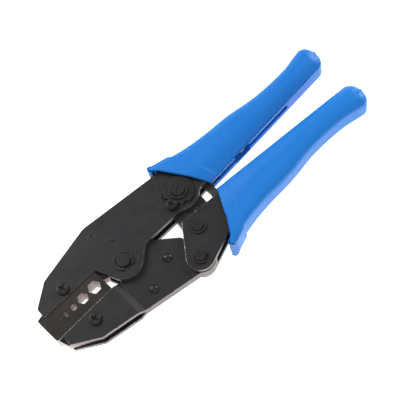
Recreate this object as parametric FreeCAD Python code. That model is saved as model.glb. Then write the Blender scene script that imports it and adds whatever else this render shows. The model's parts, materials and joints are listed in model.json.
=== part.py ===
"""Ratchet crimping tool: compound-action head, interchangeable crimp dies, two moulded grips.

Working plane: x runs from the jaws to the handles, y towards the fixed handle, and z = 0 is
the middle of the plate stack. At the end everything is shifted so that the origin is the
middle of the bottom of the whole tool. All lengths are in millimetres, the jaws are closed.
"""
import FreeCAD, Part
import math
import os

Vector = FreeCAD.Vector
UP = Vector(0, 0, 1)

# ---------------------------------------------------------------- plate stack, along z
PLATE = 2.7                        # thickness of every stamped plate
RUNNING = 0.1                      # side clearance between layers that move on each other
Z_IN = PLATE + RUNNING             # inner face of the outer layer
Z_OUT = Z_IN + PLATE               # outer face of the outer layer
RACK_HALF = 1.4                    # half thickness of the ratchet sector and the pawl
FIT = 0.05                         # radial clearance of a pin in a running hole
DETAIL = 1.0                       # how far a cutting shape runs past a face
DRILL = 10.0                       # how far a drill runs either side of the middle

# ---------------------------------------------------------------- pivots, in the working plane
MAIN = (-53.0, 5.4)                # jaw to frame
HANDLE = (-22.4, -23.0)            # moving handle to jaw
TOGGLE = (-11.4, -9.4)             # moving handle to link: the open pivot of the four-bar
ECCENTRIC = (-4.7, 13.9)           # link to frame, on the adjusting pin
PAWL = (23.6, 23.0)                # pawl to frame

# ---------------------------------------------------------------- motion, degrees
JAW_OPEN = 12.0                    # jaw travel
HANDLE_TURN = 2.68                 # handle turn per degree of jaw, clockwise against the frame
LINK_TURN = 2.23                   # link turn per degree of jaw, anticlockwise

# ---------------------------------------------------------------- pins, clips and bosses
MAIN_PIN_R = 4.1
SMALL_PIN_R = 3.1
ECCENTRIC_PIN_R = 3.8
ECCENTRIC_R = 4.9                  # the thicker middle section that the link turns on
TOGGLE_SLACK = 0.95                # radial play of the toggle pin in the link
PIN_PROUD = 1.7                    # how far a pin stands above its plate
PIN_HEAD = 1.5                     # thickness of a pin's head on the back
CLIP = 0.9                         # thickness of a retaining clip
FRAME_BOSS_R = 10.8
WHEEL_BOSS_R = 11.7
JAW_EYE_R = 9.6
JAW_END_R = 8.4
HANDLE_END_R = 8.0
LINK_EYE_R = 7.2
LINK_TOE_R = 7.0
WHEEL_R = 9.1
WHEEL = 1.2                        # thickness of the adjusting wheel

# ---------------------------------------------------------------- dies
DIE_TILT = 2.0                     # the row of cavities against the x axis, degrees
DIE_ORIGIN = (-74.1, 5.6)          # centre of the largest cavity
DIE_HALF = 5.0                     # half thickness of the die's head
TONGUE_HALF = 2.75                 # half thickness of the die's tongue
UPPER_HEAD = 6.8                   # head height above and below the parting line
LOWER_HEAD = 7.6
PARTING = 0.05                     # half of the gap between the closed dies
DIE_BACK = 6.0                     # from the largest cavity to the die's rear end
DIE_NOSE = -34.0                   # from the largest cavity to the die's nose
PLATE_NOSE = -30.2                 # from the largest cavity to the front of the plates
HEX_CAVITIES = ((0.0, 6.8), (-8.5, 5.7))                             # place, across flats
ROUND_CAVITIES = ((-15.2, 3.7), (-20.7, 2.7), (-24.4, 1.8), (-27.4, 1.2))  # place, diameter
UPPER_SCREW = (-87.0, 17.0)
LOWER_SCREW = (-85.6, -8.6)
SCREW_HEAD_R = 3.5
SCREW_SHANK_R = 2.0

# ---------------------------------------------------------------- grips and tangs
GRIP_HALF = 8.5                    # half thickness of a grip
GRIP_ROUND = 4.5                   # rounding along its edges
AXIS_START = (18.0, 3.2)           # the two handles mirror each other about this line
AXIS_SLOPE = -0.0146
TANG_END = 76.5
SLOT_HALF = 1.7                    # slot that the ratchet sector swings through
SLOT_END = 75.0
WINDOW = (31.5, 43.0)              # wider opening in that slot, over the pawl's tail
WINDOW_HALF = 2.7

# ---------------------------------------------------------------- ratchet
PAWL_TIP = (19.6, 18.6)
TOOTH_DEPTH = 1.1
TOOTH_COUNT = 17
TIP_CLEAR = 0.3                    # pawl tip to the tops of the teeth
RACK_DEPTH = 3.6                   # tooth tops to the sector's inner edge
JOGGLE = (-66.9, -63.0)            # where a jaw plate steps from the outer to the middle layer


# ================================================================ helpers
def polar(centre, radius, degrees):
    angle = math.radians(degrees)
    return (centre[0] + radius * math.cos(angle), centre[1] + radius * math.sin(angle))


def direction(centre, point):
    return math.degrees(math.atan2(point[1] - centre[1], point[0] - centre[0]))


def around(centre, radius):
    """An outline entry: the outline runs round this circle, tangent from its neighbours."""
    return (centre[0], centre[1], -radius)


def tangent_corners(before, centre, radius, after, turn):
    """Two corners whose roundings together follow the circle; turn is 1 for anticlockwise."""
    arrive = direction(centre, before) + turn * tangent_offset(before, centre, radius)
    leave = direction(centre, after) - turn * tangent_offset(after, centre, radius)
    sweep = (turn * (leave - arrive)) % 360
    corners = []
    for quarter in (0.25, 0.75):
        reach = radius / math.cos(math.radians(sweep / 4))
        corners.append((*polar(centre, reach, arrive + turn * sweep * quarter), radius))
    return corners


def tangent_offset(point, centre, radius):
    return math.degrees(math.acos(radius / math.hypot(point[0] - centre[0], point[1] - centre[1])))


def rounded_outline(entries):
    """A flat face from (x, y, corner radius) triples and around() entries."""
    pairs = list(zip(entries, entries[1:] + entries[:1]))
    turn = math.copysign(1, sum(a[0] * b[1] - b[0] * a[1] for a, b in pairs))
    corners = []
    for i, (x, y, radius) in enumerate(entries):
        if radius >= 0:
            corners.append((x, y, radius))
        else:
            after = entries[(i + 1) % len(entries)]
            corners += tangent_corners(entries[i - 1], (x, y), -radius, after, turn)
    count = len(corners)
    stretches = []
    for i, (x, y, radius) in enumerate(corners):
        here = Vector(x, y, 0)
        before = (Vector(*corners[i - 1][:2], 0) - here).normalize()
        after = (Vector(*corners[(i + 1) % count][:2], 0) - here).normalize()
        if radius == 0:
            stretches.append((here, None, here))
            continue
        half = before.getAngle(after) / 2
        reach = radius / math.tan(half)
        middle = here + (before + after).normalize() * (radius / math.sin(half) - radius)
        stretches.append((here + before * reach, middle, here + after * reach))
    edges = []
    for i, (start, middle, end) in enumerate(stretches):
        if middle is not None:
            edges.append(Part.Arc(start, middle, end).toShape())
        following = stretches[(i + 1) % count][0]
        if end.distanceToPoint(following) > 1e-6:
            edges.append(Part.makeLine(end, following))
    return Part.Face(Part.Wire(edges))


def slab(face, low, high):
    moved = face.copy()
    moved.translate(Vector(0, 0, low))
    return moved.extrude(Vector(0, 0, high - low))


def disc(centre, radius, low, high):
    return Part.makeCylinder(radius, high - low, Vector(centre[0], centre[1], low), UP)


def box(x, y, z):
    return Part.makeBox(x[1] - x[0], y[1] - y[0], z[1] - z[0], Vector(x[0], y[0], z[0]))


def through(centre, radius):
    """A cutter for a hole through the whole stack."""
    return disc(centre, radius, -DRILL, DRILL)


def fused(solids):
    whole = solids[0]
    for solid in solids[1:]:
        whole = whole.fuse(solid)
    return whole.removeSplitter()


def drilled(solid, cutters):
    for cutter in cutters:
        solid = solid.cut(cutter)
    return solid


def flipped(solid):
    """The same piece on the other side of the stack."""
    return solid.mirror(Vector(0, 0, 0), UP)


def cross_recess(centre, radius, top, depth):
    """The four-armed recess of a cross-head screw."""
    width = radius * 0.3
    arms = []
    for turn in (20, 110):
        arm = Part.makeBox(2 * radius, width, depth, Vector(-radius, -width / 2, 0))
        arm.rotate(Vector(0, 0, 0), UP, turn)
        arm.translate(Vector(centre[0], centre[1], top - depth))
        arms.append(arm)
    return fused(arms)


def retaining_clip(centre, shaft, low, opening):
    """An E-shaped clip: a ring with three inner pads, open towards one side."""
    outer = shaft * 1.42
    ring = disc(centre, outer, low, low + CLIP).cut(disc(centre, shaft * 1.08, low - 1, low + 2))
    pads = [ring]
    for turn in (opening + 75, opening + 180, opening - 75):
        x, y = polar(centre, shaft * 1.08, turn)
        pads.append(disc((x, y), shaft * 0.28, low, low + CLIP))
    clip = fused(pads).cut(disc(centre, shaft * 0.86, low - 1, low + 2))
    gap = Part.makeBox(outer * 2, shaft * 1.15, CLIP * 3, Vector(0, -shaft * 0.575, 0))
    gap.rotate(Vector(0, 0, 0), UP, opening)
    gap.translate(Vector(centre[0], centre[1], low - CLIP))
    return clip.cut(gap)


def headed_pin(centre, radius, clip_gap=0.0):
    """A pin with a head under the back plate and a clip groove above the front plate."""
    top = Z_OUT + PIN_PROUD + clip_gap
    groove = Z_OUT + FIT + clip_gap
    shank = disc(centre, radius, -Z_OUT - PIN_HEAD, top)
    shank = shank.makeChamfer(0.3, [edge for edge in shank.Edges if edge.BoundBox.ZMin > top - FIT])
    head = disc(centre, radius + 2, -Z_OUT - PIN_HEAD, -Z_OUT)
    head = head.makeChamfer(0.4, [edge for edge in head.Edges if edge.BoundBox.ZMax < -Z_OUT - 1])
    cut = disc(centre, radius + 1, groove, groove + CLIP + FIT).cut(
        disc(centre, radius * 0.84, groove, groove + CLIP + FIT))
    return fused([shank, head]).cut(cut), groove


def domed_head(centre, radius, height, base):
    """A cap cut from a sphere, flat side at z = base."""
    ball_r = (radius ** 2 + height ** 2) / (2 * height)
    ball = Part.makeSphere(ball_r, Vector(centre[0], centre[1], base + height - ball_r))
    return ball.common(disc(centre, radius + 1, base, base + height + 1))


def domed_rivet(centre, radius, shank, height, base):
    """A rivet with a dome on each side of a pack that is base thick to either side."""
    top = domed_head(centre, radius, height, base)
    return fused([disc(centre, shank, -base, base), top, flipped(top)])


def spring_end(eye, wire, coil_r, lead):
    """A loop about the origin and the straight wire that joins it to a coil along +x."""
    start = math.sqrt(eye ** 2 - coil_r ** 2)
    loop = Part.makeTorus(eye, wire / 2, Vector(0, 0, 0), UP)
    stem = Part.makeCylinder(wire / 2, lead + wire / 2 - start, Vector(start, coil_r, 0),
                             Vector(1, 0, 0))
    return fused([loop, stem])


def close_wound_spring(start, end, coil_r, wire, eye, lead, first_upright=False):
    """A close-wound extension spring between the centres of its two end loops.

    lead is from a loop's centre to the coil. An upright first loop hooks through a plate.
    """
    run = Vector(end[0] - start[0], end[1] - start[1], 0)
    length = run.Length - 2 * lead
    turns = int(length / wire)
    pitch = length / turns
    profile = [Part.makeLine(Vector(lead, 0, 0), Vector(lead, coil_r, 0))]
    for i in range(turns):
        x = lead + i * pitch
        profile.append(Part.Arc(Vector(x, coil_r, 0), Vector(x + pitch / 2, coil_r + pitch / 2, 0),
                                Vector(x + pitch, coil_r, 0)).toShape())
    profile.append(Part.makeLine(Vector(lead + length, coil_r, 0), Vector(lead + length, 0, 0)))
    profile.append(Part.makeLine(Vector(lead + length, 0, 0), Vector(lead, 0, 0)))
    coil = Part.Face(Part.Wire(profile)).revolve(Vector(0, 0, 0), Vector(1, 0, 0), 360)
    coil = coil.cut(Part.makeCylinder(coil_r - wire / 2, length + 2, Vector(lead - 1, 0, 0),
                                      Vector(1, 0, 0)))
    first = spring_end(eye, wire, coil_r, lead)
    if first_upright:
        first.rotate(Vector(0, 0, 0), Vector(1, 0, 0), 90)
    last = spring_end(eye, wire, coil_r, lead).mirror(Vector(0, 0, 0), Vector(1, 0, 0))
    last.translate(Vector(run.Length, 0, 0))
    spring = fused([coil, first, last])
    spring.rotate(Vector(0, 0, 0), UP, math.degrees(math.atan2(run.y, run.x)))
    spring.translate(Vector(start[0], start[1], 0))
    return spring


# ================================================================ motion of the handle
def turned(point, centre, degrees):
    angle = math.radians(degrees)
    x, y = point[0] - centre[0], point[1] - centre[1]
    return (centre[0] + x * math.cos(angle) - y * math.sin(angle),
            centre[1] + x * math.sin(angle) + y * math.cos(angle))


def seen_from_handle(point, jaw):
    """Where a point of the frame lies on the handle when the jaw has opened by this angle."""
    pivot = turned(HANDLE, MAIN, jaw)
    carried = (HANDLE[0] + point[0] - pivot[0], HANDLE[1] + point[1] - pivot[1])
    return turned(carried, HANDLE, HANDLE_TURN * jaw)


def circle_through(a, b, c):
    circle = Part.Circle(Vector(*a, 0), Vector(*b, 0), Vector(*c, 0))
    return (circle.Center.x, circle.Center.y), circle.Radius


# ================================================================ dies
def on_die(u, v):
    """A point u along the row of cavities from the largest one and v above it."""
    return turned((DIE_ORIGIN[0] + u, DIE_ORIGIN[1] + v), DIE_ORIGIN, DIE_TILT)


def die_corner(u, v, radius):
    x, y = on_die(u, v)
    return (x, y, radius)


def cavities():
    cutters = []
    for u, flats in HEX_CAVITIES:
        corner_r = flats / math.sqrt(3)
        corners = [Vector(*polar(on_die(u, 0), corner_r, DIE_TILT + 60 * i), 0) for i in range(7)]
        face = Part.Face(Part.makePolygon(corners))
        cutters.append(slab(face, -DIE_HALF - DETAIL, DIE_HALF + DETAIL))
    for u, bore in ROUND_CAVITIES:
        cutters.append(disc(on_die(u, 0), bore / 2, -DIE_HALF - DETAIL, DIE_HALF + DETAIL))
    return cutters


def die(side, head, tongue, screw):
    """side is 1 for the upper die and -1 for the lower one; tongue lists the tongue's corners."""
    inner = side * PARTING
    nose = [die_corner(DIE_NOSE, inner, 0), die_corner(DIE_BACK, inner, 0),
            die_corner(DIE_BACK, side * head, 0.4)]
    nose += [die_corner(DIE_NOSE, side * head, 1.2)]
    body = slab(rounded_outline(nose), -DIE_HALF, DIE_HALF)
    blade = slab(rounded_outline(tongue), -TONGUE_HALF, TONGUE_HALF)
    return drilled(fused([body, blade]), cavities() + [through(screw, SCREW_SHANK_R + FIT)])


def upper_die():
    lug = [die_corner(DIE_BACK, 0.3, 0), (-64.1, 5.0, 0.3), (-64.1, 10.5, 1.0), (-68.5, 14.5, 1.0)]
    tongue = [die_corner(DIE_NOSE, 4, 0), die_corner(DIE_BACK - 1, 4, 0), die_corner(DIE_BACK - 1, 0.3, 0)]
    tongue += lug
    tongue += [(-70.5, 20.5, 1.5), (-91.0, 22.5, 2.0), (-105.0, 15.0, 0.8), (-108.3, 14.2, 0.8)]
    return die(1, UPPER_HEAD, tongue, UPPER_SCREW)


def lower_die():
    tongue = [die_corner(DIE_NOSE, -4, 0), die_corner(DIE_BACK, -4, 0),
              (-71.0, -13.5, 1.5), (-91.0, -15.5, 2.0), (-105.0, -8.6, 0.8)]
    return die(-1, LOWER_HEAD, tongue, LOWER_SCREW)


def die_screw(centre):
    head = disc(centre, SCREW_HEAD_R, Z_OUT, Z_OUT + 1.7)
    head = head.makeFillet(1.0, [edge for edge in head.Edges if edge.BoundBox.ZMin > Z_OUT + 1])
    shank = disc(centre, SCREW_SHANK_R, -Z_OUT - 0.4, Z_OUT)
    return fused([head, shank]).cut(cross_recess(centre, SCREW_HEAD_R * 0.6, Z_OUT + 1.8, 1.5))


# ================================================================ frame
FRAME_RIVETS = ((-55.8, 29.4), (57.0, 17.4), (69.5, 16.9))
SPRING_ANCHOR = (-48.6, 19.4)
SPRING_LOBE = (-14.6, 17.4)
PAWL_ANCHOR = (51.0, 15.0)
PAWL_HOLE = (38.3, 12.2)           # in the pawl's tail, for its spring
LOCK_SCREW = (-13.0, 10.0)


def frame_outline():
    return rounded_outline([
        die_corner(PLATE_NOSE, UPPER_HEAD, 1.5),
        die_corner(DIE_BACK + 0.8, UPPER_HEAD, 0.6),
        (-64.9, 6.4, 1.0),
        around(MAIN, FRAME_BOSS_R),
        (-38.1, 4.3, 9.0),
        (-11.9, 4.6, 2.0),
        around(ECCENTRIC, WHEEL_BOSS_R),
        (4.6, 6.75, 1.0),
        (10.0, 7.3, 1.5),
        (13.5, 9.7, 2.0),
        (TANG_END, 14.0, 2.4),
        (TANG_END, 19.6, 2.4),
        (42.0, 23.2, 20.0),
        (22.0, 26.9, 30.0),
        (-8.0, 31.1, 60.0),
        (-56.5, 35.9, 8.0),
        (-91.2, 28.0, 4.0),
        (-104.2, 18.3, 2.0)])


def setting_marks():
    """The curved arrow and dot beside the adjusting wheel."""
    curve = [disc(polar(ECCENTRIC, 8.6, turn), 0.55 + 0.02 * (turn - 144), Z_OUT - 0.5, Z_OUT + 1)
             for turn in range(144, 168, 3)]
    dot = disc(polar(ECCENTRIC, 7.4, 116), 0.55, Z_OUT - 0.5, Z_OUT + 1)
    return curve + [dot]


def frame_plate_front():
    plate = slab(frame_outline(), Z_IN, Z_OUT)
    holes = [through(centre, 1.7) for centre in FRAME_RIVETS]
    holes += [through(MAIN, MAIN_PIN_R), through(ECCENTRIC, ECCENTRIC_PIN_R)]
    holes += [through(SPRING_ANCHOR, 1.6), through(PAWL, 1.6), through(PAWL_ANCHOR, 1.2)]
    holes += [through(UPPER_SCREW, SCREW_SHANK_R), through(LOCK_SCREW, 1.6)]
    return drilled(plate, holes)


def frame_rivets():
    """Three flush rivets, each with the tube that keeps the plates apart on its middle."""
    return Part.makeCompound([disc(centre, 1.7, -Z_OUT, Z_OUT) for centre in FRAME_RIVETS])


def spacers(centres):
    tubes = [disc(centre, 3.0, -Z_IN, Z_IN).cut(through(centre, 1.7)) for centre in centres]
    return Part.makeCompound(tubes)


def eccentric_pin():
    """Outer ends in the frame plates, a thicker middle for the link and a screwdriver slot."""
    pin, groove = headed_pin(ECCENTRIC, ECCENTRIC_PIN_R, WHEEL)
    slot = Part.makeBox(4.4, 0.8, 1, Vector(-2.2, -0.4, 0))
    slot.rotate(Vector(0, 0, 0), UP, 35)
    slot.translate(Vector(ECCENTRIC[0], ECCENTRIC[1], Z_OUT + WHEEL + PIN_PROUD - 0.6))
    middle = disc(ECCENTRIC, ECCENTRIC_R, -Z_IN + FIT, Z_IN - FIT)
    return fused([pin, middle]).cut(slot), groove


def adjusting_wheel():
    """A disc on the eccentric pin with notches that the lock screw's shank drops into."""
    wheel = disc(ECCENTRIC, WHEEL_R, Z_OUT, Z_OUT + WHEEL)
    wheel = wheel.makeChamfer(0.3, [edge for edge in wheel.Edges if edge.BoundBox.ZMin > Z_OUT + 1])
    facing = direction(ECCENTRIC, LOCK_SCREW)
    notches = [through(polar(ECCENTRIC, 9.3, facing + step), 1.75) for step in (-26, 0, 26, 52)]
    collar = through(ECCENTRIC, ECCENTRIC_PIN_R)
    return drilled(wheel, notches + [collar])


def lock_screw():
    head = disc(LOCK_SCREW, 3.05, Z_OUT + WHEEL, Z_OUT + WHEEL + 1.6)
    head = head.makeFillet(0.7, [edge for edge in head.Edges if edge.BoundBox.ZMin > Z_OUT + 2])
    body = fused([head, disc(LOCK_SCREW, 1.6, Z_IN, Z_OUT + WHEEL)])
    return body.cut(cross_recess(LOCK_SCREW, 1.9, Z_OUT + WHEEL + 1.7, 1.3))


def shouldered_pin(centre, radius, shoulder, gap):
    """A pin with a shoulder each side of a piece that is 2 gap thick."""
    pin = disc(centre, radius, -Z_OUT, Z_OUT)
    collar = disc(centre, shoulder, gap + FIT, Z_IN - FIT)
    return fused([pin, collar, flipped(collar)])


# ================================================================ jaw
JAW_RIVETS = ((-52.0, -17.6), (-34.8, -9.7))


def jaw_outline():
    return rounded_outline([
        die_corner(PLATE_NOSE, -LOWER_HEAD, 1.2),
        (*on_die(DIE_BACK + 7.5, -LOWER_HEAD), 0.8),
        around(MAIN, JAW_EYE_R),
        (-43.5, 12.8, 6.0),
        (-22.0, -5.9, 2.0),
        (-19.2, -13.0, 3.0),
        around(HANDLE, JAW_END_R),
        (-28.4, -29.1, 2.0),
        (-89.3, -19.1, 3.0),
        (-104.1, -9.9, 1.0)])


def jaw_plate_front():
    """The front stands in the outer layer and steps down to the middle layer before the pivot."""
    outline = jaw_outline()
    step_start, step_end = JOGGLE
    far = 200
    front = slab(outline, Z_IN, Z_OUT).common(box((-far, step_start), (-far, far), (0, far)))
    rear = slab(outline, 0, PLATE).common(box((step_end, far), (-far, far), (0, far)))
    profile = [Vector(step_start, -far, Z_OUT), Vector(step_end, -far, PLATE),
               Vector(step_end, -far, 0), Vector(step_start, -far, Z_IN)]
    step = Part.Face(Part.makePolygon(profile + [profile[0]])).extrude(Vector(0, 2 * far, 0))
    step = step.common(slab(outline, 0, Z_OUT))
    plate = fused([front, step, rear])
    holes = [through(MAIN, MAIN_PIN_R + FIT), through(HANDLE, SMALL_PIN_R + FIT),
             through(LOWER_SCREW, SCREW_SHANK_R)]
    holes += [through(centre, 1.8) for centre in JAW_RIVETS]
    return drilled(plate, holes)


def jaw_rivets():
    return Part.makeCompound([domed_rivet(centre, 2.8, 1.8, 1.5, PLATE) for centre in JAW_RIVETS])


# ================================================================ link
LINK_RIVET = (-4.2, -1.2)
SPRING_ROOM = 0.6                  # half of the gap in the lobe that takes the spring's loop


def link_outline():
    return rounded_outline([
        around(ECCENTRIC, LINK_EYE_R),
        (2.9, 4.0, 6.0),
        (2.2, -4.5, 5.0),
        around(TOGGLE, LINK_TOE_R),
        (-16.8, 4.0, 6.0),
        (-15.0, 12.6, 2.0),
        around(SPRING_LOBE, 2.5),
        (-10.6, 18.6, 1.5)])


def link_plate_front():
    plate = slab(link_outline(), 0, PLATE)
    return drilled(plate, [through(ECCENTRIC, ECCENTRIC_R + FIT),
                           through(TOGGLE, SMALL_PIN_R + TOGGLE_SLACK),
                           through(SPRING_LOBE, 1.3), through(LINK_RIVET, 1.5),
                           disc(SPRING_LOBE, 3.2, -DETAIL, SPRING_ROOM)])


# ================================================================ moving handle
SECTOR_RIVETS = ((7.4, -10.8), (6.0, -17.0))
HANDLE_RIVETS = ((57.0, -12.9), (69.5, -12.4))


def handle_outline():
    return rounded_outline([
        (-15.9, -1.0, 1.5),
        around(HANDLE, HANDLE_END_R),
        (-2.0, -23.6, 6.0),
        (22.0, -20.4, 30.0),
        (42.0, -17.2, 20.0),
        (TANG_END, -15.0, 2.4),
        (TANG_END, -9.6, 2.4),
        (13.5, -4.9, 2.0),
        (9.6, -2.8, 1.2)])


def handle_plate_front():
    holes = [through(HANDLE, SMALL_PIN_R), through(TOGGLE, SMALL_PIN_R)]
    holes += [through(centre, 1.7) for centre in SECTOR_RIVETS + HANDLE_RIVETS]
    return drilled(slab(handle_outline(), Z_IN, Z_OUT), holes)


def tooth_arc():
    """Centre and radius of the arc that the pawl's tip follows on the handle."""
    path = [seen_from_handle(PAWL_TIP, JAW_OPEN * part) for part in (0, 0.5, 1)]
    centre, radius = circle_through(*path)
    return centre, radius - TIP_CLEAR, direction(centre, path[0]), direction(centre, path[2])


def ratchet_sector():
    """A hooked arm that reaches over the link's eye and carries the teeth on its outer edge."""
    centre, tops, closed, opened = tooth_arc()
    start = closed - 1.5
    end = opened + 3.0
    outer = [polar(centre, tops, start), polar(centre, tops, end)]
    inner_r = tops - RACK_DEPTH
    inner = [polar(centre, inner_r, end), polar(centre, inner_r, closed + 12)]
    edges = [Part.Arc(Vector(*outer[0], 0), Vector(*polar(centre, tops, (start + end) / 2), 0),
                      Vector(*outer[1], 0)).toShape(),
             Part.makeLine(Vector(*outer[1], 0), Vector(*inner[0], 0)),
             Part.Arc(Vector(*inner[0], 0),
                      Vector(*polar(centre, inner_r, (end + closed + 12) / 2), 0),
                      Vector(*inner[1], 0)).toShape()]
    arm = [inner[1], (7.6, 11.0), (7.6, 2.0), (6.2, -4.5), (4.6, -9.0), (1.8, -16.5),
           (4.5, -20.5), (9.5, -19.5), (12.2, -12.0), (11.8, 3.0), (15.5, 9.0), outer[0]]
    edges += [Part.makeLine(Vector(*a, 0), Vector(*b, 0)) for a, b in zip(arm, arm[1:])]
    blank = slab(Part.Face(Part.Wire(edges)), -RACK_HALF, RACK_HALF)
    cutters = [through(spot, 1.7) for spot in SECTOR_RIVETS]
    pitch = (opened - closed) / TOOTH_COUNT
    for i in range(TOOTH_COUNT):
        angle = closed + (i + 0.5) * pitch
        notch = [Vector(*polar(centre, tops + 0.6, angle - pitch * 0.62), 0),
                 Vector(*polar(centre, tops - TOOTH_DEPTH, angle), 0),
                 Vector(*polar(centre, tops + 0.6, angle + pitch * 0.62), 0)]
        cutters.append(slab(Part.Face(Part.makePolygon(notch + [notch[0]])), -DETAIL * 3, DETAIL * 3))
    return drilled(blank, cutters)


# ================================================================ pawl
def pawl():
    """Nose on the sector's teeth, and a tail that a fingertip reaches through the window."""
    nose = Vector(PAWL_TIP[0] - PAWL[0], PAWL_TIP[1] - PAWL[1], 0)
    aim = math.degrees(math.atan2(nose.y, nose.x))
    tip = polar(PAWL, nose.Length, aim)
    body = rounded_outline([
        (tip[0], tip[1], 0.3),
        (*polar(PAWL, 3.6, aim + 62), 1.0),
        (36.2, 10.6, 3.0),
        (37.4, 8.4, 0.6),
        (40.8, 9.1, 0.8),
        (39.8, 13.6, 1.5),
        (*polar(PAWL, 4.4, 22), 2.0),
        (*polar(PAWL, 3.3, 112), 2.0),
        (*polar(PAWL, 3.3, aim - 58), 1.5)])
    plate = slab(body, -RACK_HALF, RACK_HALF)
    return drilled(plate, [through(PAWL, 1.6 + FIT), through(PAWL_HOLE, 0.8)])


def pawl_spring():
    """Its upright loop goes through the hole in the pawl's tail and round the tail's end."""
    eye = 1.9
    slope = direction(PAWL_HOLE, PAWL_ANCHOR)
    hooked = polar(PAWL_HOLE, eye - 0.3, slope)
    return close_wound_spring(hooked, PAWL_ANCHOR, 1.1, 0.45, eye, 2.3, first_upright=True)


# ================================================================ grips
def on_grip(s, t, side):
    """s along the mirror axis, t away from it; side is 1 for the fixed handle."""
    return (s, AXIS_START[1] + AXIS_SLOPE * (s - AXIS_START[0]) + side * t)


GRIP_CORNERS = (
    (11.4, 3.7, 1.0), (79.5, 8.8, 90.0), (108.3, 10.7, 7.5), (108.3, 25.2, 5.0), (101.0, 27.6, 6.0),
    (88.0, 22.4, 25.0), (64.0, 22.6, 50.0), (47.0, 25.1, 40.0), (27.0, 26.3, 60.0),
    (10.0, 28.2, 25.0), (-5.8, 35.3, 2.2), (-9.8, 31.6, 1.2), (-5.2, 28.3, 2.0))


def grip(side):
    """A moulded handle over the tangs, open at its mouth."""
    corners = [(*on_grip(s, t, side), radius) for s, t, radius in GRIP_CORNERS]
    body = slab(rounded_outline(corners), -GRIP_HALF, GRIP_HALF)
    mouth = [on_grip(-9.8, 31.6, side), on_grip(-5.2, 28.3, side), on_grip(11.4, 3.7, side)]
    rounded = []
    for edge in body.Edges:
        bounds = edge.BoundBox
        flat = bounds.ZMax - bounds.ZMin < 1e-3
        middle = edge.valueAt((edge.FirstParameter + edge.LastParameter) / 2)
        near = min(distance_to_run((middle.x, middle.y), a, b) for a, b in zip(mouth, mouth[1:]))
        if flat and near > 1.5:
            rounded.append(edge)
    return body.makeFillet(GRIP_ROUND, rounded)


def distance_to_run(point, start, end):
    run = (end[0] - start[0], end[1] - start[1])
    along = (point[0] - start[0]) * run[0] + (point[1] - start[1]) * run[1]
    along = min(1, max(0, along / (run[0] ** 2 + run[1] ** 2)))
    return math.hypot(point[0] - start[0] - along * run[0], point[1] - start[1] - along * run[1])


def tang_pocket(outline):
    room = outline.copy()
    return slab(room.makeOffset2D(FIT * 2), -Z_OUT - FIT, Z_OUT + FIT)


def fixed_grip():
    inner = [on_grip(s, t, 1) for s, t in ((-20, 0), (SLOT_END, 0), (SLOT_END, 14), (-20, 12))]
    slot = slab(Part.Face(Part.makePolygon([Vector(*p, 0) for p in inner + inner[:1]])),
                -SLOT_HALF, SLOT_HALF)
    low, high = WINDOW
    opening = box((low, high), (0, 13.0), (-WINDOW_HALF, WINDOW_HALF))
    return drilled(grip(1), [tang_pocket(frame_outline()), slot, opening])


def moving_grip():
    notch = box((8.0, 12.6), (-9.0, 1.0), (-SLOT_HALF, SLOT_HALF))
    return drilled(grip(-1), [tang_pocket(handle_outline()), notch])


# ================================================================ assembly
def build():
    main_pin, main_groove = headed_pin(MAIN, MAIN_PIN_R)
    handle_pin, handle_groove = headed_pin(HANDLE, SMALL_PIN_R)
    toggle_pin, toggle_groove = headed_pin(TOGGLE, SMALL_PIN_R)
    adjuster, adjuster_groove = eccentric_pin()
    frame_plate = frame_plate_front()
    jaw_plate = jaw_plate_front()
    handle_plate = handle_plate_front()
    link_plate = link_plate_front()
    return {
        "frame_plate_front": frame_plate.cut(Part.makeCompound(setting_marks())),
        "frame_plate_back": flipped(frame_plate),
        "upper_die": upper_die(),
        "upper_die_screw": die_screw(UPPER_SCREW),
        "main_pivot_pin": main_pin,
        "main_pivot_clip": retaining_clip(MAIN, MAIN_PIN_R, main_groove, -95),
        "eccentric_pin": adjuster,
        "eccentric_clip": retaining_clip(ECCENTRIC, ECCENTRIC_PIN_R, adjuster_groove, 60),
        "adjusting_wheel": adjusting_wheel(),
        "lock_screw": lock_screw(),
        "frame_rivets": frame_rivets(),
        "frame_spacers": spacers(FRAME_RIVETS),
        "spring_anchor_pin": disc(SPRING_ANCHOR, 1.6, -Z_OUT, Z_OUT + 0.2),
        "pawl_pin": shouldered_pin(PAWL, 1.6, 2.6, RACK_HALF),
        "pawl_spring_pin": disc(PAWL_ANCHOR, 1.2, -Z_OUT, Z_OUT),
        "fixed_grip": fixed_grip(),
        "return_spring": close_wound_spring(SPRING_ANCHOR, SPRING_LOBE, 1.9, 0.8, 2.05, 3.2),
        "pawl_spring": pawl_spring(),
        "jaw_plate_front": jaw_plate,
        "jaw_plate_back": flipped(jaw_plate),
        "lower_die": lower_die(),
        "lower_die_screw": die_screw(LOWER_SCREW),
        "jaw_rivets": jaw_rivets(),
        "link_plate_front": link_plate,
        "link_plate_back": flipped(link_plate),
        "link_rivet": disc(LINK_RIVET, 1.5, -PLATE, PLATE),
        "link_spring_pin": disc(SPRING_LOBE, 1.3, -PLATE, PLATE),
        "handle_plate_front": handle_plate,
        "handle_plate_back": flipped(handle_plate),
        "handle_pin": handle_pin,
        "handle_pin_clip": retaining_clip(HANDLE, SMALL_PIN_R, handle_groove, -60),
        "toggle_pin": toggle_pin,
        "toggle_pin_clip": retaining_clip(TOGGLE, SMALL_PIN_R, toggle_groove, 60),
        "ratchet_sector": ratchet_sector(),
        "sector_rivets": Part.makeCompound(
            [shouldered_pin(spot, 1.7, 3.0, RACK_HALF) for spot in SECTOR_RIVETS]),
        "handle_rivets": Part.makeCompound([disc(spot, 1.7, -Z_OUT, Z_OUT) for spot in HANDLE_RIVETS]),
        "handle_spacers": spacers(HANDLE_RIVETS),
        "moving_grip": moving_grip(),
        "pawl": pawl(),
    }


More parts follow.
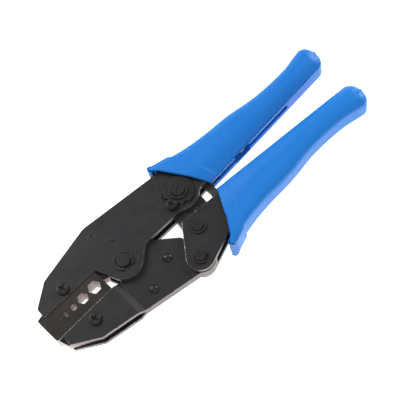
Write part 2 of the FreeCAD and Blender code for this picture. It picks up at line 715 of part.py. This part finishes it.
def main():
    os.makedirs("parts", exist_ok=True)
    pieces = build()
    whole = Part.makeCompound(list(pieces.values())).BoundBox
    shift = Vector(-(whole.XMin + whole.XMax) / 2, -(whole.YMin + whole.YMax) / 2, -whole.ZMin)
    for name, shape in pieces.items():
        moved = shape.copy()
        moved.translate(shift)
        moved.exportStep(f"parts/{name}.step")
    print("size", round(whole.XLength, 2), round(whole.YLength, 2), round(whole.ZLength, 2))
    print("shift", round(shift.x, 4), round(shift.y, 4), round(shift.z, 4))


main()
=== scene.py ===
import json
import math

import bpy
from mathutils import Matrix, Vector


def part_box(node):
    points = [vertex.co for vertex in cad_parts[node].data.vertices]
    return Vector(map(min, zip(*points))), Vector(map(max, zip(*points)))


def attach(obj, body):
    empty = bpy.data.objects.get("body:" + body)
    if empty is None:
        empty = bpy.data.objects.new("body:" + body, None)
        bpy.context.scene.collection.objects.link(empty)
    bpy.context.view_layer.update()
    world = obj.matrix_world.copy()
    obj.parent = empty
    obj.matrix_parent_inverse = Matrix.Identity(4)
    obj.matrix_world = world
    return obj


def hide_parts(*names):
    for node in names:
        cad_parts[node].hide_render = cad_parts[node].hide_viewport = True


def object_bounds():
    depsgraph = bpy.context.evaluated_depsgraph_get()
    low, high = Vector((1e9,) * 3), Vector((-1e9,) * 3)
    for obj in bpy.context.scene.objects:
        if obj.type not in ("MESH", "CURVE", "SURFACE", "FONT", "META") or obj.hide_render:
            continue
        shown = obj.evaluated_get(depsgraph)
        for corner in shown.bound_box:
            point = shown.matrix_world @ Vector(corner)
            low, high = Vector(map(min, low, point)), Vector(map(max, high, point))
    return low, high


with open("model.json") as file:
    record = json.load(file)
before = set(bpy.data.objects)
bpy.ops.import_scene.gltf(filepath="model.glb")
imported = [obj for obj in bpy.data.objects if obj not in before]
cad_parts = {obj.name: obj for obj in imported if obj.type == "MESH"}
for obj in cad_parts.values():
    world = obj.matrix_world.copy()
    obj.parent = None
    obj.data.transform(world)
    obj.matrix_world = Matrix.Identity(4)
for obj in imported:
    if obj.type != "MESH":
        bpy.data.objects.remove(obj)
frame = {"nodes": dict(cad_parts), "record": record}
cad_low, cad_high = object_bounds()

MM = 0.001

# ---------------------------------------------------------------- grip sizes, millimetres
# s runs along the handles and t away from the line that the two grips mirror each other about.
MAIN_PIVOT = (-53.0, 5.4)          # the main pin in the working plane that s and t belong to
MIRROR_Y = 2.55                    # the mirror line's place in that plane
HALF_THICK = 8.1                   # crown of a grip above the middle of the plate stack
INNER_CREST = 4.8                  # half height of the flat inner wall
INNER_SLOPE = 0.0755               # how the inner wall leaves the mirror line
OUTER_CREST = 4.2                  # half height of the outer wall before it rounds over
OUTER_ROUND = 6.0                  # how far in the outer rounding reaches
COLLAR_CREST = 5.5                 # the outer wall and its rounding at the collar
COLLAR_ROUND = 3.5
END_CREST = 4.8                    # half height of the upright wall at the rear end
CROWN_SHARE = 0.45                 # the crown's place across a grip
CROWN_POWER = 1.8                  # how fast the inner slope eases into the crown
SHELL = 3.0                        # moulded wall where it is thick
LIP_SHARE = 0.4                    # the top and the mouth's lip against that wall
COLLAR_PROUD = 0.4                 # how far the collar at the mouth stands proud
SLOT_HALF = 1.7                    # slot in the fixed grip for the ratchet
SLOT_END = 75.0
WINDOW_HALF = 3.6                  # wider opening over the pawl's tail
WINDOW = (31.5, 43.0)
NOTCH_END = 12.8                   # notch in the moving grip for the ratchet's arm
END_S = 108.4                      # rear end of a grip
INNER_END = (102.4, 16.0, 6.5)     # centre and radius of the rear corner on the inner side
OUTER_END = (102.6, 19.6, 6.2)     # the same on the outer side
EAR_SHARE = 0.84                   # beyond this share of the mouth's rim the ear is closed
MOUTH = ((11.2, 2.5), (-4.8, 28.3), (-7.2, 30.3), (-7.9, 31.3), (-7.8, 32.1), (-7.1, 32.9),
         (-6.1, 33.35), (-4.8, 33.5))
MOVING_SETBACK = 1.8               # the moving grip's mouth sits this much further back
MOUTH_SQUARE = (0.85, 0.527)       # direction straight back from the mouth's rim
COLLAR_REAR = (5.7, 31.0)          # where the collar's outer edge ends
CREASE_INNER = (16.6, 3.1)         # where its inner edge ends
CREASE_BOW = 0.9                   # how far the crease between them bows back
END_STEPS = 10                     # rows round the rear corners
FADE_ROWS = 6                      # rows over which the crests' bevel fades before them
COLLAR_FADE = 8                    # rows over which the collar's section turns into the body's
LEAST_WIDTH = 14.0                 # the crown is never shaped for a narrower grip than this
BODY_EDGE = ((6.2, 30.0), (10.0, 29.1), (18.0, 27.75), (28.0, 26.75), (40.0, 26.3), (48.0, 25.7),
             (58.0, 24.1), (66.0, 23.2), (78.0, 23.0), (90.0, 23.7), (97.0, 25.2), (102.6, 26.2))


# ================================================================ materials
class Nodes:
    """A material's node tree with short calls to add and link its nodes."""

    def __init__(self, name, **constants):
        self.material = bpy.data.materials.new(name)
        self.material.use_nodes = True
        self.tree = self.material.node_tree
        self.shader = self.tree.nodes["Principled BSDF"]
        self.place = self.add("ShaderNodeTexCoord").outputs["Object"]
        for socket, value in constants.items():
            self.shader.inputs[socket.replace("_", " ")].default_value = value

    def add(self, kind, **settings):
        node = self.tree.nodes.new(kind)
        for key, value in settings.items():
            setattr(node, key, value)
        return node

    def link(self, source, target):
        self.tree.links.new(source, target)

    def noise(self, scale, detail=3.0, roughness=0.55, stretch=None):
        node = self.add("ShaderNodeTexNoise")
        node.inputs["Scale"].default_value = scale
        node.inputs["Detail"].default_value = detail
        node.inputs["Roughness"].default_value = roughness
        place = self.place
        if stretch:
            mapping = self.add("ShaderNodeMapping")
            mapping.inputs["Scale"].default_value = stretch
            self.link(place, mapping.inputs["Vector"])
            place = mapping.outputs["Vector"]
        self.link(place, node.inputs["Vector"])
        return node.outputs["Fac"]

    def ramp(self, factor, *stops):
        node = self.add("ShaderNodeValToRGB")
        elements = node.color_ramp.elements
        while len(elements) < len(stops):
            elements.new(0.5)
        for element, (position, colour) in zip(elements, stops):
            element.position = position
            element.color = (*colour, 1.0)
        self.link(factor, node.inputs["Fac"])
        return node.outputs["Color"]

    def spread(self, factor, low, high, start=0.0, end=1.0):
        node = self.add("ShaderNodeMapRange")
        node.inputs["From Min"].default_value = start
        node.inputs["From Max"].default_value = end
        node.inputs["To Min"].default_value = low
        node.inputs["To Max"].default_value = high
        self.link(factor, node.inputs["Value"])
        return node.outputs["Result"]

    def mix(self, factor, first, second):
        node = self.add("ShaderNodeMix", data_type="RGBA")
        self.link(factor, node.inputs["Factor"])
        self.link(first, node.inputs["A"])
        self.link(second, node.inputs["B"])
        return node.outputs["Result"]

    def side_share(self):
        """1 on faces that stand upright and 0 on faces that lie flat."""
        split = self.add("ShaderNodeSeparateXYZ")
        self.link(self.add("ShaderNodeNewGeometry").outputs["Normal"], split.inputs["Vector"])
        size = self.add("ShaderNodeMath", operation="ABSOLUTE")
        self.link(split.outputs["Z"], size.inputs[0])
        return self.spread(size.outputs["Value"], 1.0, 0.0, 0.15, 0.75)

    def bump(self, heights, strength, distance):
        previous = None
        for height in heights:
            node = self.add("ShaderNodeBump")
            node.inputs["Strength"].default_value = strength
            node.inputs["Distance"].default_value = distance
            self.link(height, node.inputs["Height"])
            if previous:
                self.link(previous, node.inputs["Normal"])
            previous = node.outputs["Normal"]
        self.link(previous, self.shader.inputs["Normal"])

    def set(self, socket, output):
        self.link(output, self.shader.inputs[socket])


def oxide(name, dark, light, steel, side_metal, roughness, grain):
    """Black oxide on flat faces, going over to bare sheared steel on the upright ones."""
    made = Nodes(name, Specular_IOR_Level=0.3)
    patches = made.noise(95.0, 4.0)
    fine = made.noise(900.0, 3.0)
    flat = made.ramp(patches, (0.3, dark), (0.52, tuple(0.5 * (a + b) for a, b in zip(dark, light))),
                     (0.72, light))
    streaks = made.noise(420.0, 3.0, stretch=(1.0, 1.0, 5.0))
    bare = made.ramp(streaks, (0.3, tuple(0.72 * c for c in steel)), (0.7, steel))
    side = made.side_share()
    made.set("Base Color", made.mix(side, flat, bare))
    made.set("Metallic", made.spread(side, 0.15, side_metal))
    made.set("Roughness", made.spread(fine, roughness - 0.07, roughness + 0.09, 0.3, 0.7))
    made.bump([patches, made.noise(2600.0, 2.0)], grain, 0.00006)
    return made.material


def edge_wear_and_highlight():
    """The bright line along a broken edge: oxide rubbed through, with its colour lifted further as a painted
    highlight.
    """
    made = Nodes("edge_wear_and_highlight", Metallic=0.9)
    wear_and_glint = made.noise(260.0, 4.0)
    # painted highlight: the bevel's base colour is lifted far above the oxide's, partly wear and partly a
    # stand-in for edge glints
    made.set("Base Color", made.ramp(wear_and_glint, (0.38, (0.07, 0.066, 0.064)), (0.62, (0.24, 0.22, 0.215))))
    made.set("Roughness", made.spread(wear_and_glint, 0.42, 0.26, 0.3, 0.7))
    return made.material


def machined(name, colour, roughness):
    """Turned or drawn metal with fine lines along the part."""
    made = Nodes(name, Metallic=1.0)
    lines = made.noise(700.0, 3.0, stretch=(1.0, 1.0, 6.0))
    made.set("Base Color", made.ramp(lines, (0.3, tuple(0.7 * c for c in colour)), (0.7, colour)))
    made.set("Roughness", made.spread(lines, roughness - 0.06, roughness + 0.1, 0.3, 0.7))
    made.bump([lines], 0.25, 0.00004)
    return made.material


def moulded_plastic():
    """Satin blue polypropylene: faint mould flow, fine spark-eroded grain."""
    made = Nodes("blue_moulded_plastic", Specular_IOR_Level=0.36)
    flow = made.noise(26.0, 3.0, stretch=(0.35, 1.0, 1.0))
    grain = made.noise(2100.0, 2.0)
    made.set("Base Color", made.ramp(flow, (0.3, (0.004, 0.160, 0.560)), (0.7, (0.006, 0.182, 0.605))))
    made.set("Roughness", made.spread(made.noise(160.0, 4.0), 0.33, 0.43, 0.3, 0.7))
    made.bump([flow, grain], 0.14, 0.00008)
    return made.material


def floor_paint():
    made = Nodes("floor_paint", Roughness=0.9, Emission_Color=(1.0, 1.0, 1.0, 1.0), Emission_Strength=0.95)
    made.set("Base Color", made.ramp(made.noise(4.0), (0.3, (0.90, 0.90, 0.90)), (0.7, (0.93, 0.93, 0.93))))
    return made.material


STEEL = (0.27, 0.245, 0.24)
MATERIALS = {
    "plate": oxide("black_oxide_plate", (0.014, 0.015, 0.018), (0.026, 0.024, 0.024), STEEL, 0.85, 0.40, 0.10),
    "die": oxide("black_oxide_die", (0.010, 0.008, 0.007), (0.024, 0.019, 0.016), (0.58, 0.51, 0.49),
                 0.85, 0.5, 0.35),
    "pin": oxide("black_pin", (0.014, 0.014, 0.016), (0.026, 0.026, 0.028), (0.05, 0.05, 0.053), 0.4, 0.33, 0.10),
    "clip": oxide("black_clip", (0.014, 0.014, 0.016), (0.028, 0.028, 0.03), (0.06, 0.06, 0.06), 0.5, 0.38, 0.10),
    "ratchet": oxide("hardened_steel", (0.035, 0.030, 0.026), (0.060, 0.052, 0.046), (0.30, 0.26, 0.23),
                     0.7, 0.42, 0.15),
    "spacer": machined("turned_steel", (0.52, 0.51, 0.50), 0.33),
    "spring": machined("yellow_plated_wire", (0.62, 0.46, 0.20), 0.32),
}
GRIP_MATERIAL = moulded_plastic()
# bright bevel colour for the plates' edges: wear plus painted highlight
EDGE_WEAR_AND_HIGHLIGHT_MATERIAL = edge_wear_and_highlight()

# ================================================================ metal nodes
EDGE_WIDTH = {"plate": 0.24, "die": 0.10, "pin": 0.12, "clip": 0.08}     # millimetres


def soften(piece, width, angle=35, segments=2, edge_slot=-1, by_weight=False):
    """Breaks a piece's sharp edges, or the ones with a bevel weight, and evens out its shading."""
    weld = piece.modifiers.new("weld", "WELD")
    weld.merge_threshold = 0.002 * MM
    if not by_weight:
        merged = piece.modifiers.new("flat_faces", "DECIMATE")
        merged.decimate_type = "DISSOLVE"
        merged.angle_limit = math.radians(0.4)
    bevel = piece.modifiers.new("broken_edges", "BEVEL")
    bevel.width = width * MM
    bevel.segments = segments
    bevel.limit_method = "WEIGHT" if by_weight else "ANGLE"
    bevel.angle_limit = math.radians(angle)
    bevel.use_clamp_overlap = False
    bevel.material = edge_slot
    normals = piece.modifiers.new("even_normals", "WEIGHTED_NORMAL")
    normals.keep_sharp = True


def finish_metal():
    """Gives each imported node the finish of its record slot; the pawl is blackened like the plates."""
    slots = {row["node"]: row["material_slot"] for row in frame["record"]["subparts"]}
    for name, node in frame["nodes"].items():
        slot = slots[name]
        if slot == "grip":
            continue
        node.data.materials.clear()
        node.data.materials.append(MATERIALS["plate" if name == "pawl" else slot])
        if slot in EDGE_WIDTH:
            # front and back plates get the bright edge colour on their bevels: wear plus painted highlight
            wear_and_highlight_edges = slot == "plate" and name.split("_")[-1] in ("front", "back")
            if wear_and_highlight_edges:
                node.data.materials.append(EDGE_WEAR_AND_HIGHLIGHT_MATERIAL)
            soften(node, EDGE_WIDTH[slot], angle=50, edge_slot=1 if wear_and_highlight_edges else -1)


# ================================================================ grips
def hermite(points, s):
    """The height at s of a smooth line through points."""
    last = len(points) - 1
    i = max(0, min(last - 1, sum(s > p[0] for p in points) - 1))
    slopes = []
    for k in (i, i + 1):
        a, b = points[max(0, k - 1)], points[min(last, k + 1)]
        slopes.append((b[1] - a[1]) / (b[0] - a[0]))
    (x0, y0), (x1, y1) = points[i], points[i + 1]
    span = x1 - x0
    u = (s - x0) / span
    return (y0 * (1 + 2 * u) * (1 - u) ** 2 + slopes[0] * span * u * (1 - u) ** 2
            + y1 * u * u * (3 - 2 * u) + slopes[1] * span * u * u * (u - 1))


def inner_edge(s):
    return MOUTH[0][1] + INNER_SLOPE * (s - MOUTH[0][0])


def along_mouth(v):
    """A point of the mouth's rim, v of its length from the inner corner."""
    lengths = [math.dist(a, b) for a, b in zip(MOUTH, MOUTH[1:])]
    left = v * sum(lengths)
    for (a, b), length in zip(zip(MOUTH, MOUTH[1:]), lengths):
        if left <= length + 1e-9:
            return tuple(p + (q - p) * left / length for p, q in zip(a, b))
        left -= length
    return MOUTH[-1]


def blend_points(a, b, share):
    return tuple(p + (q - p) * share for p, q in zip(a, b))


def collar_rows(setback):
    """Rows from the mouth's rim to the crease; each is a function of the place v across the grip.

    setback moves the outer half of the rim back towards the crease.
    """
    steps = (0.0, 0.04, 0.12, 0.3, 0.5, 0.7, 0.88, 1.0)

    def row(share):
        def at(v):
            rear = blend_points(CREASE_INNER, COLLAR_REAR, v)
            rear = (rear[0] + CREASE_BOW * 4 * v * (1 - v), rear[1])
            rim = along_mouth(v)
            back = setback * min(1.0, 2 * v)
            rim = (rim[0] + MOUTH_SQUARE[0] * back, rim[1] + MOUTH_SQUARE[1] * back)
            return blend_points(rim, rear, share)
        return at
    return [row(share) for share in steps]


def body_rows():
    """Rows from the crease to the start of the rounded rear end."""
    inner_s = [17.1, 18.5, 21.0, 24.0, 27.5, WINDOW[0], 34.0, 37.0, 40.0, WINDOW[1]]
    inner_s += [46 + 3.3 * i for i in range(9)] + [SLOT_END] + [77.5 + 3.05 * i for i in range(8)]
    inner_s.append(INNER_END[0])
    first, last = inner_s[0], inner_s[-1]
    rows = []
    for s in inner_s:
        share = (s - first) / (last - first)
        lean = (1 - share) ** 4
        outer_s = s + (BODY_EDGE[0][0] - first) * lean + (OUTER_END[0] - last) * share

        def at(v, s=s, outer_s=outer_s, lean=lean):
            ends = (s, inner_edge(s)), (outer_s, hermite(BODY_EDGE, outer_s))
            x, y = blend_points(*ends, v)
            return (x + CREASE_BOW * 4 * v * (1 - v) * lean ** 2, y)
        rows.append(at)
    return rows


def end_rows():
    """Rows round the two rear corners to the flat end."""
    rows = []
    for step in range(1, END_STEPS + 1):
        angle = math.radians(90 * step / END_STEPS)

        def at(v, angle=angle):
            ends = []
            for (s, t, radius), turn, edge in ((INNER_END, -1, inner_edge(INNER_END[0])),
                                               (OUTER_END, 1, BODY_EDGE[-1][1])):
                reach = abs(edge - t)
                ends.append((s + (END_S - s) * math.sin(angle), t + turn * reach * math.cos(angle)))
            return blend_points(*ends, v)
        rows.append(at)
    return rows


def distance_to_line(point, line):
    best = 1e9
    for a, b in zip(line, line[1:]):
        run = (b[0] - a[0], b[1] - a[1])
        size = run[0] ** 2 + run[1] ** 2
        share = ((point[0] - a[0]) * run[0] + (point[1] - a[1]) * run[1]) / size if size else 0.0
        near = blend_points(a, b, min(1.0, max(0.0, share)))
        best = min(best, math.dist(point, near))
    return best


def inner_height(depth, width, crest):
    eased = 1 - (1 - min(1.0, depth / (CROWN_SHARE * width))) ** CROWN_POWER
    return crest + (HALF_THICK - crest) * eased


def outer_height(depth, collar):
    """collar is 1 at the mouth and 0 on the body."""
    crest = OUTER_CREST + (COLLAR_CREST - OUTER_CREST) * collar
    reach = OUTER_ROUND + (COLLAR_ROUND - OUTER_ROUND) * collar
    left = 1 - min(1.0, depth / reach)
    return crest + (HALF_THICK - crest) * math.sqrt(1 - left * left)


def crown(point, inner_line, outer_line, width, crest, collar):
    """Half thickness of the grip at a point: both edges' roundings, whichever is lower."""
    lows = [1 - inner_height(distance_to_line(point, inner_line), width, crest) / HALF_THICK,
            1 - outer_height(distance_to_line(point, outer_line), collar) / HALF_THICK]
    return HALF_THICK * (1 - sum(low ** 4 for low in lows) ** 0.25)


ACROSS = 24
PLACES = [0.35 * j / ACROSS + 0.65 * (0.5 - 0.5 * math.cos(math.pi * j / ACROSS)) for j in range(ACROSS + 1)]
WALL_ROWS = (-1.0, -WINDOW_HALF / INNER_CREST, -SLOT_HALF / INNER_CREST,
             SLOT_HALF / INNER_CREST, WINDOW_HALF / INNER_CREST, 1.0)


def mark_edges(mesh, around, row_count, collar_count):
    """Bevel weights on the inner wall's two crests, the collar's step and the rims of all openings."""
    uses = [0] * len(mesh.edges)
    for loop in mesh.loops:
        uses[loop.edge_index] += 1
    sharp = mesh.attributes.new("bevel_weight_edge", "FLOAT", "EDGE")
    crests = (0, len(WALL_ROWS) - 1)
    for index, edge in enumerate(mesh.edges):
        rows = [v // around for v in edge.vertices]
        columns = [v % around for v in edge.vertices]
        weight = 1.0 if uses[index] == 1 else 0.0
        if columns[0] == columns[1] and columns[0] in crests:
            weight = min(1.0, max(0.0, (row_count - FADE_ROWS - max(rows)) / FADE_ROWS))
        if rows[0] == rows[1] == collar_count - 1 and uses[index] == 2:
            weight = 0.5
        if rows[0] == rows[1] == 0 and uses[index] == 2:
            weight = 0.3
        sharp.data[index].value = weight


def ear_faces(around):
    """Faces between the top and the bottom of the first row, which close the ear at the mouth's outer end."""
    top = len(WALL_ROWS)
    outer = top + ACROSS - 1                 # the first of the outer wall's four points
    faces = []
    for k in range(1, ACROSS):
        if PLACES[k] > EAR_SHARE:
            below = outer + 3 if k == ACROSS - 1 else around - k - 1
            faces.append((top + k - 1, top + k, below, around - k))
    faces.append((outer, outer + 1, outer + 2, outer + 3))
    return faces


def build_grip(name, side, body, node, setback, is_open):
    """A hollow moulded handle.

    side is 1 for the fixed grip and -1 for its mirrored partner. is_open(s, row) says which cells of the
    inner wall are cut away.
    """
    low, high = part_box("main_pivot_pin")
    middle_low, middle_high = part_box("frame_rivets")
    origin = (low + high) / 2
    origin.z = (middle_low.z + middle_high.z) / 2

    def placed(s, t, z):
        work = Vector((s - MAIN_PIVOT[0], MIRROR_Y + side * t - MAIN_PIVOT[1], z))
        return origin + work * MM

    collar, rows = collar_rows(setback), body_rows() + end_rows()
    collar_count = len(collar)
    rows = collar + rows
    inner_line = [row(0.0) for row in rows]
    outer_line = [row(1.0) for row in rows]
    vertices, weights = [], []
    for index, row in enumerate(rows):
        width = math.dist(inner_line[index], outer_line[index])
        at_end = max(0, index - (len(rows) - END_STEPS - 1)) / END_STEPS
        crest = INNER_CREST + (END_CREST - INNER_CREST) * at_end
        collar = 1.0 if index < collar_count else max(0.0, 1 - (index - collar_count) / COLLAR_FADE)
        thin = 1 - 0.85 * at_end
        proud = COLLAR_PROUD if index < collar_count else 0.0
        heights = []
        for v in PLACES:
            point = row(v)
            swell = proud * min(1.0, 6 * v + 0.3)
            half = crown(point, inner_line, outer_line, max(width, LEAST_WIDTH), crest, collar)
            heights.append((point, half + swell))
        inner_thick = 1.0 if index > collar_count + 1 else LIP_SHARE
        loop = [(heights[0][0], share * heights[0][1], inner_thick) for share in WALL_ROWS]
        loop += [(point, z, LIP_SHARE) for point, z in heights[1:-1]]
        edge_point, edge_z = heights[-1]
        loop += [(edge_point, edge_z * share, 1.0) for share in (1.0, 0.4, -0.4, -1.0)]
        loop += [(point, -z, LIP_SHARE) for point, z in reversed(heights[1:-1])]
        for (s, t), z, weight in loop:
            vertices.append(placed(s, t, z))
            weights.append(weight * thin)
    around = len(vertices) // len(rows)
    faces = []
    for i in range(len(rows) - 1):
        for j in range(around):
            if j < len(WALL_ROWS) - 1 and is_open(0.5 * (inner_line[i][0] + inner_line[i + 1][0]), j):
                continue
            following = (j + 1) % around
            here, beyond = i * around, (i + 1) * around
            corners = (here + j, here + following, beyond + following, beyond + j)
            faces.append(corners[::-1] if side > 0 else corners)
    for corners in ear_faces(around):
        faces.append(corners[::-1] if side > 0 else corners)
    last = (len(rows) - 1) * around
    cap = tuple(range(last, last + around))
    faces.append(cap[::-1] if side > 0 else cap)
    mesh = bpy.data.meshes.new(name)
    mesh.from_pydata(vertices, [], faces)
    mesh.polygons.foreach_set("use_smooth", [True] * len(mesh.polygons))
    mark_edges(mesh, around, len(rows), collar_count)
    piece = bpy.data.objects.new(name, mesh)
    bpy.context.scene.collection.objects.link(piece)
    mesh.materials.append(GRIP_MATERIAL)
    group = piece.vertex_groups.new(name="wall")
    for index, weight in enumerate(weights):
        group.add([index], weight, "REPLACE")
    shell = piece.modifiers.new("shell", "SOLIDIFY")
    shell.thickness = SHELL * MM
    shell.offset = -1.0
    shell.vertex_group = "wall"
    soften(piece, 0.5, segments=3, by_weight=True)
    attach(piece, body)
    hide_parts(node)
    return piece


def fixed_opening(s, row):
    slot = s < SLOT_END and row == 2
    window = WINDOW[0] < s < WINDOW[1] and 1 <= row <= 3
    return slot or window


def moving_opening(s, row):
    return s < NOTCH_END and row == 2


# ================================================================ stage, light and camera
def add_stage():
    lowest = cad_low.z
    reach = 3.0
    corners = [(-reach, -reach, lowest), (reach, -reach, lowest), (reach, reach, lowest), (-reach, reach, lowest)]
    mesh = bpy.data.meshes.new("floor")
    mesh.from_pydata(corners, [], [(0, 1, 2, 3)])
    mesh.materials.append(floor_paint())
    floor = bpy.data.objects.new("floor", mesh)
    bpy.context.scene.collection.objects.link(floor)


def add_area(name, place, target, size, power):
    light = bpy.data.lights.new(name, "AREA")
    light.shape = "DISK"
    light.size = size
    light.energy = power
    lamp = bpy.data.objects.new(name, light)
    lamp.location = place
    lamp.rotation_mode = "QUATERNION"
    lamp.rotation_quaternion = (Vector(target) - Vector(place)).to_track_quat("-Z", "Y")
    bpy.context.scene.collection.objects.link(lamp)


def add_light():
    world = bpy.data.worlds.new("studio")
    world.use_nodes = True
    background = world.node_tree.nodes["Background"]
    background.inputs["Color"].default_value = (1.0, 1.0, 1.0, 1.0)
    background.inputs["Strength"].default_value = 0.44
    bpy.context.scene.world = world
    add_area("back_softbox", (-0.20, 0.80, 0.65), (0.0, 0.0, 0.0), 0.6, 7.5)
    add_area("front_softbox", (-0.25, -0.75, 0.80), (0.0, 0.0, 0.0), 0.6, 2.5)
    add_area("side_softbox", (0.90, 0.10, 0.45), (0.0, 0.0, 0.0), 0.5, 5.0)
    bpy.context.scene.view_settings.view_transform = "Standard"


def add_camera():
    back = Vector((-0.1935, -0.3944, 0.8983)).normalized()
    right = Vector((0.7235, -0.6758, -0.1409)).normalized()
    upwards = back.cross(right)
    camera = bpy.data.cameras.new("camera")
    camera.lens = 104.06
    camera.sensor_width = 36.0
    holder = bpy.data.objects.new("camera", camera)
    pose = Matrix((right, upwards, back)).transposed().to_4x4()
    middle = (cad_low + cad_high) / 2
    target = Vector((middle.x, middle.y - 0.00229, 0.0140))
    pose.translation = target + back * 0.630
    holder.matrix_world = pose
    bpy.context.scene.collection.objects.link(holder)
    bpy.context.scene.camera = holder


add_camera()
add_stage()
add_light()
finish_metal()
build_grip("fixed_grip_shell", 1, "frame", "fixed_grip", 0.0, fixed_opening)
build_grip("moving_grip_shell", -1, "handle", "moving_grip", MOVING_SETBACK, moving_opening)
